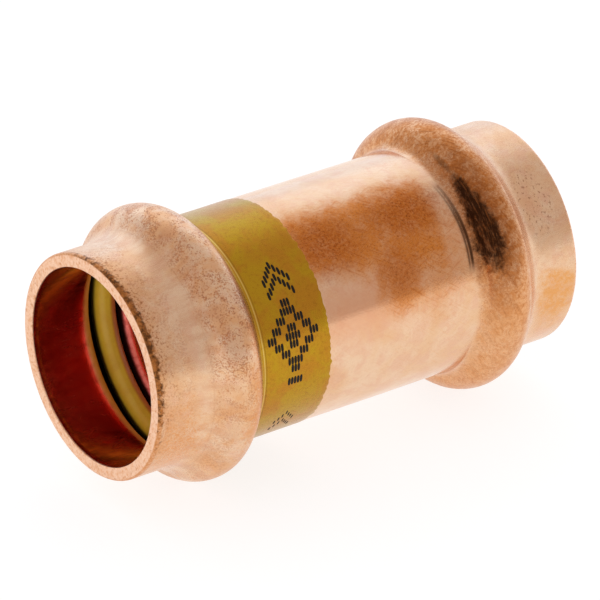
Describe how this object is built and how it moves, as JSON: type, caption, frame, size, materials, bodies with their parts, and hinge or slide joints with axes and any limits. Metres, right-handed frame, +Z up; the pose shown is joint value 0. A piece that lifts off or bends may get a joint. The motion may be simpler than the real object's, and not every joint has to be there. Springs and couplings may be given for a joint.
{
  "type": "press-fit pipe coupling",
  "caption": "Straight copper press-fit coupling for gas tube, with a rolled bead and a moulded yellow sealing ring at each end and a painted yellow marking band.",
  "frame": {"origin": "centre of the coupling, on the axis of its bore and halfway between its two rims", "axes": "+X along the bore from the end that carries the yellow band to the far end; +Z up as it lies on its two beads"},
  "size_m": [0.0408, 0.0224, 0.0224],
  "materials": {
    "copper": "bright formed copper, lightly tarnished",
    "seal_rubber": "smooth moulded yellow rubber",
    "yellow_paint": "thin satin translucent yellow paint",
    "black_ink": "matte printed ink"
  },
  "bodies": {
    "root": {"coupling_body": "copper", "near_seal_ring": "seal_rubber", "far_seal_ring": "seal_rubber", "gas_marking_band": "yellow_paint"}
  },
  "joints": []
}
